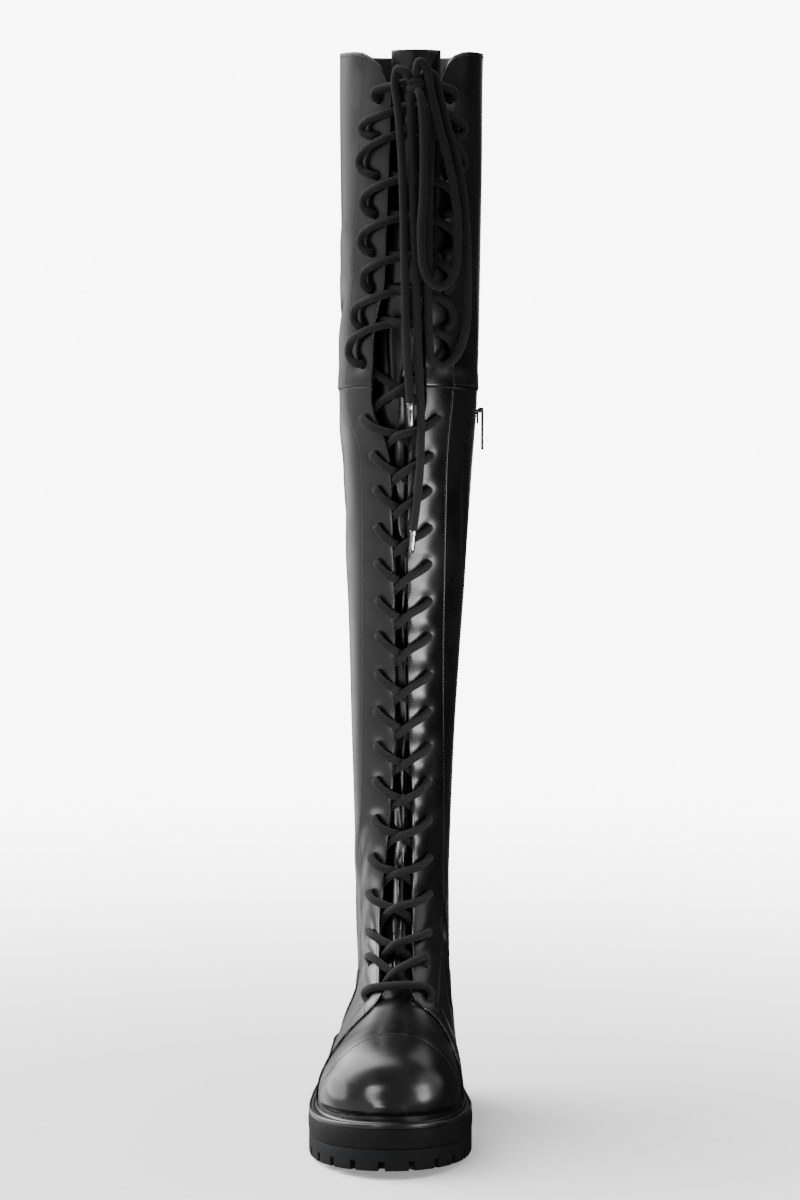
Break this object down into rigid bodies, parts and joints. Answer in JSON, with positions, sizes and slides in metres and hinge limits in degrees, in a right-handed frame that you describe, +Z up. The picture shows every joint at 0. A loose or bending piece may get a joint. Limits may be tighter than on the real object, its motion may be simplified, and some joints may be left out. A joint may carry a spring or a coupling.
{
  "type": "over-the-knee boot",
  "caption": "Tall lace-up over-the-knee boot in smooth black leather, with a lugged sole, inner zip and a hanging rope-lace bow.",
  "frame": {"origin": "on the floor under the middle of the sole's length, on the flat rear lug of the forepart", "axes": "+Z up along the shaft, -Y towards the toe, +X towards the inner side of the leg"},
  "size_m": [0.1178, 0.2915, 0.7476],
  "materials": {
    "leather": "smooth, softly polished",
    "lining": "matte",
    "tape": "woven",
    "midsole_rubber": "satin",
    "tread_rubber": "matte",
    "zip_metal": "blackened",
    "lace": "matte braid",
    "aglet": "polished"
  },
  "bodies": {
    "boot": {"upper": "leather", "thigh_shaft": "leather", "tongue": "leather", "insole": "lining", "zip_tape": "tape", "outsole": "tread_rubber", "heel_block": "tread_rubber", "midsole": "midsole_rubber", "welt": "midsole_rubber", "zip_chain": "zip_metal", "zip_slider": "zip_metal", "lace_knot": "lace", "lace_loop_small": "lace", "lace_loop_large": "lace", "lace_end_left": "lace", "lace_end_right": "lace", "aglet_left": "aglet", "aglet_right": "aglet", "lace_row_01": "lace", "lace_row_02": "lace", "lace_row_03": "lace", "lace_row_04": "lace", "lace_row_05": "lace", "lace_row_06": "lace", "lace_row_07": "lace", "lace_row_08": "lace", "lace_row_09": "lace", "lace_row_10": "lace", "lace_row_11": "lace", "lace_row_12": "lace", "lace_row_13": "lace", "lace_row_14": "lace", "lace_row_15": "lace", "lace_row_16": "lace", "lace_row_17": "lace", "lace_row_18": "lace", "lace_row_19": "lace", "lace_row_20": "lace", "lace_row_21": "lace", "lace_row_22": "lace", "lace_row_23": "lace", "lace_row_24": "lace", "lace_row_25": "lace"},
    "zip_pull": {"zip_pull_tab": "zip_metal"}
  },
  "joints": [
    {"name": "zip_pull_swing", "type": "hinge", "parent": "boot", "child": "zip_pull", "pos_m": [0.06142, 0.05898, 0.49969], "axis": [0, -1, 0], "range_deg": [0, 150]}
  ]
}
